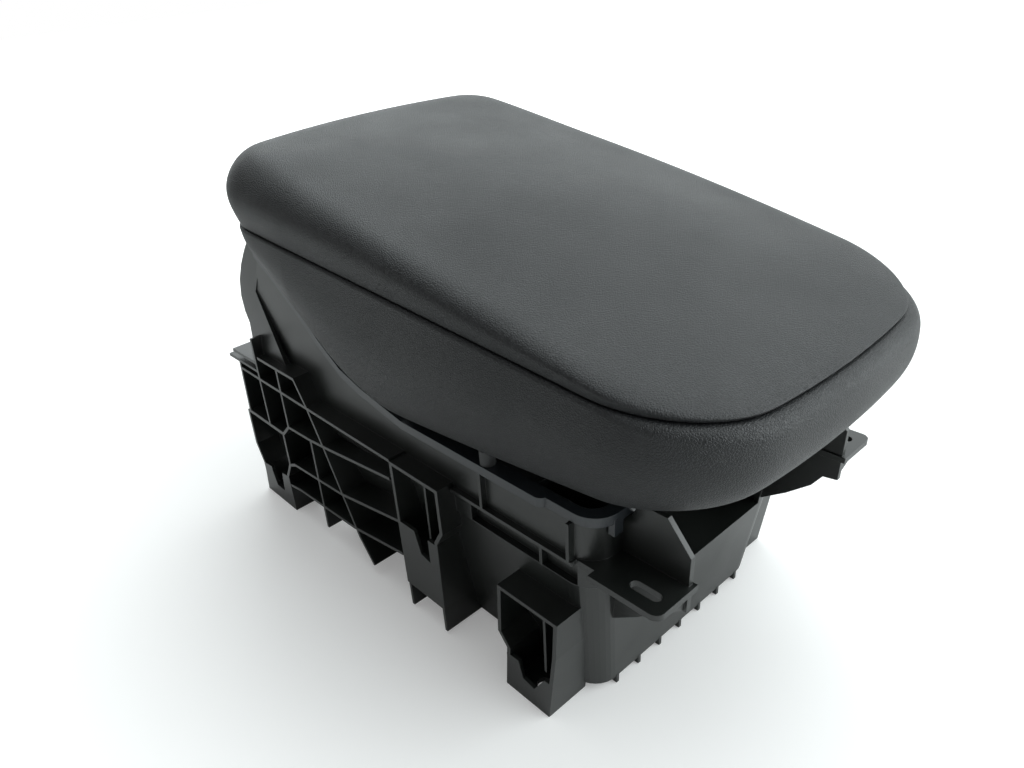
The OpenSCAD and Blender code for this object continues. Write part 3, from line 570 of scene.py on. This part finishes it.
def foam_rings():
    """Core's roof from its middle outwards, down the core's wall, out and up the side leather, in behind the seam and
    over the pad. The roof's last ring has the height that belongs to the seam line outside it, and the rings further
    in take their share k of that shift."""
    x = PLAN[:, 0]
    wall = pushed(np.full((1, AROUND), -CORE_INSET))[0]
    k = np.linspace(0.03, 1, 12)[:, None]
    roof_x = MID_X + (wall[:, 0] - MID_X) * k
    roof = np.dstack([roof_x, wall[:, 1] * k, core_roof(roof_x) + (core_roof(x) - core_roof(wall[:, 0])) * k])
    foot = np.column_stack([wall, skirt_z(x) + LEATHER_T])[None]
    side = side_point(np.linspace(1, 0.06, 18)[:, None] * turn_start(), FOAM_SKIN)
    pad = np.vstack([shoulder(np.linspace(8, 90, 20), FOAM_SKIN), crowned(np.linspace(1, 0.03, 24)[1:], FOAM_SKIN)])
    pad = softened(pad, np.clip(np.arange(len(pad)) / 8 - 0.5, 0, 1), 12)
    seam = np.column_stack([pushed(np.full((1, AROUND), -TUCK - SEAM_ROOM))[0], seam_z(x)])[None]
    return np.vstack([roof, foot, side, seam, pad])


poles = [[MID_X, 0, core_roof(MID_X)], [MID_X, 0, top_z - FOAM_SKIN]]
foam = ring_mesh("lid_foam_pad", foam_rings(), FINISHES["foam"], poles)
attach(foam, "lid")
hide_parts("lid_foam")

# %% [markdown]
# ## Camera
#
# The camera stands where the photograph was taken from. Its place, direction and lens come from lines of the bin and
# the lid that are parallel or square to each other on the real object; a small lens shift puts the optical centre
# where the photograph has it.

# %% Camera
CAMERA_MM = (262.61, -252.23, 299.91)
AZIMUTH, ELEVATION, ROLL_DEG = 53.457, 29.553, -6.516
LENS_MM, SENSOR_MM, SHIFT = 27.45, 36, (0.0777, 0.0176)

a, e = math.radians(AZIMUTH), math.radians(ELEVATION)
forward = Vector((-math.sin(a) * math.cos(e), math.cos(a) * math.cos(e), -math.sin(e)))
camera = bpy.data.objects.new("camera", bpy.data.cameras.new("camera"))
camera.data.lens, camera.data.sensor_width = LENS_MM, SENSOR_MM
camera.data.shift_x, camera.data.shift_y = SHIFT
camera.data.clip_start, camera.data.clip_end = 0.01, 50
turn = forward.to_track_quat("-Z", "Y").to_matrix() @ Matrix.Rotation(math.radians(ROLL_DEG), 3, "Z")
camera.matrix_world = Matrix.Translation(Vector(CAMERA_MM) * MM) @ turn.to_4x4()
bpy.context.scene.collection.objects.link(camera)
bpy.context.scene.camera = camera
print("camera", AZIMUTH, "degrees round and", ELEVATION, "degrees down, lens", LENS_MM, "mm")

# %% [markdown]
# ## Floor and light
#
# A pale floor in an even, bright room makes a plain studio. A wide ceiling light keeps the shadow close round the
# feet, a large window behind gives the top leather its broad sheen, one at the nose's side lights what looks forwards,
# and a small low one at the rear lifts the pad's rear corner out of the dark. The floor and the room are white to the
# camera's own rays, which lights nothing, and keep the object's soft shadow.

# %% Studio
SHINE_NEAR, SHINE_FAR = 0.22, 0.9  # the floor's own light for the camera, under the object and far away
NEAR_M, FAR_M = 0.15, 1.3
ROOM_LIGHT = 0.28
WHITE = linear("#ffffff")
DAYLIGHT = (0.92, 0.99, 1.0)


def floor_finish():
    """Matt white floor with a little light of its own that only the camera sees, more of it further away, so that the
    shadow stays and the far floor meets the white room without a line."""
    m, t, shader = new_finish("matt_white_floor")
    shader.inputs["Base Color"].default_value = linear("#ebebea")
    shader.inputs["Roughness"].default_value = 0.9
    seen = add(t, "LightPath").outputs["Is Camera Ray"]
    away = add(t, "VectorMath", {0: add(t, "TexCoord").outputs["Object"]}, operation="LENGTH").outputs["Value"]
    level = add(t, "MapRange", {"Value": away, "From Min": NEAR_M, "From Max": FAR_M,
                                "To Min": SHINE_NEAR, "To Max": SHINE_FAR})
    shine = add(t, "Math", {0: seen, 1: level.outputs[0]}, operation="MULTIPLY")
    shader.inputs["Emission Color"].default_value = WHITE
    t.links.new(shine.outputs[0], shader.inputs["Emission Strength"])
    return m


def studio_world():
    """White room: full strength to the camera, and the level of an ordinary bright room to the object."""
    w = bpy.data.worlds.new("studio")
    w.use_nodes = True
    t = w.node_tree
    seen = add(t, "LightPath").outputs["Is Camera Ray"]
    level = add(t, "MapRange", {"Value": seen, "To Min": ROOM_LIGHT, "To Max": 1.0})
    t.nodes["Background"].inputs["Color"].default_value = WHITE
    t.links.new(level.outputs[0], t.nodes["Background"].inputs["Strength"])
    return w


def area_lamp(name, place, size, watts):
    """A square soft lamp at a place in metres, turned towards the object."""
    lamp = bpy.data.objects.new(name, bpy.data.lights.new(name, "AREA"))
    lamp.data.size, lamp.data.energy = size, watts
    lamp.location = place
    lamp.rotation_mode = "QUATERNION"
    lamp.rotation_quaternion = (Vector((0, 0, 0.12)) - Vector(place)).to_track_quat("-Z", "Y")
    bpy.context.scene.collection.objects.link(lamp)
    lamp.data.color = DAYLIGHT
    return lamp


FLOOR_M = 9  # half the floor's side
floor_mesh = bpy.data.meshes.new("floor")
floor_mesh.from_pydata([(-FLOOR_M, -FLOOR_M, 0), (FLOOR_M, -FLOOR_M, 0), (FLOOR_M, FLOOR_M, 0), (-FLOOR_M, FLOOR_M, 0)],
                       [], [(0, 1, 2, 3)])
floor_mesh.materials.append(floor_finish())
floor = bpy.data.objects.new("floor", floor_mesh)
floor.location.z = -0.2 * MM  # clear of the soles, which lie at height 0
bpy.context.scene.collection.objects.link(floor)

bpy.context.scene.world = studio_world()
lamps = [
    area_lamp("ceiling", (-0.2, 0.4, 3.2), 3.6, 42),
    area_lamp("rear_window", (-1.8, 2.9, 2.5), 5.5, 136),
    area_lamp("nose_window", (1.9, 1.4, 0.8), 3.2, 104),
    area_lamp("rear_low_window", (-2.7, 0.6, 0.8), 2.0, 14),
]
bpy.context.scene.view_settings.view_transform = "Standard"
print("lamps:", [(lamp.name, lamp.data.energy) for lamp in lamps])
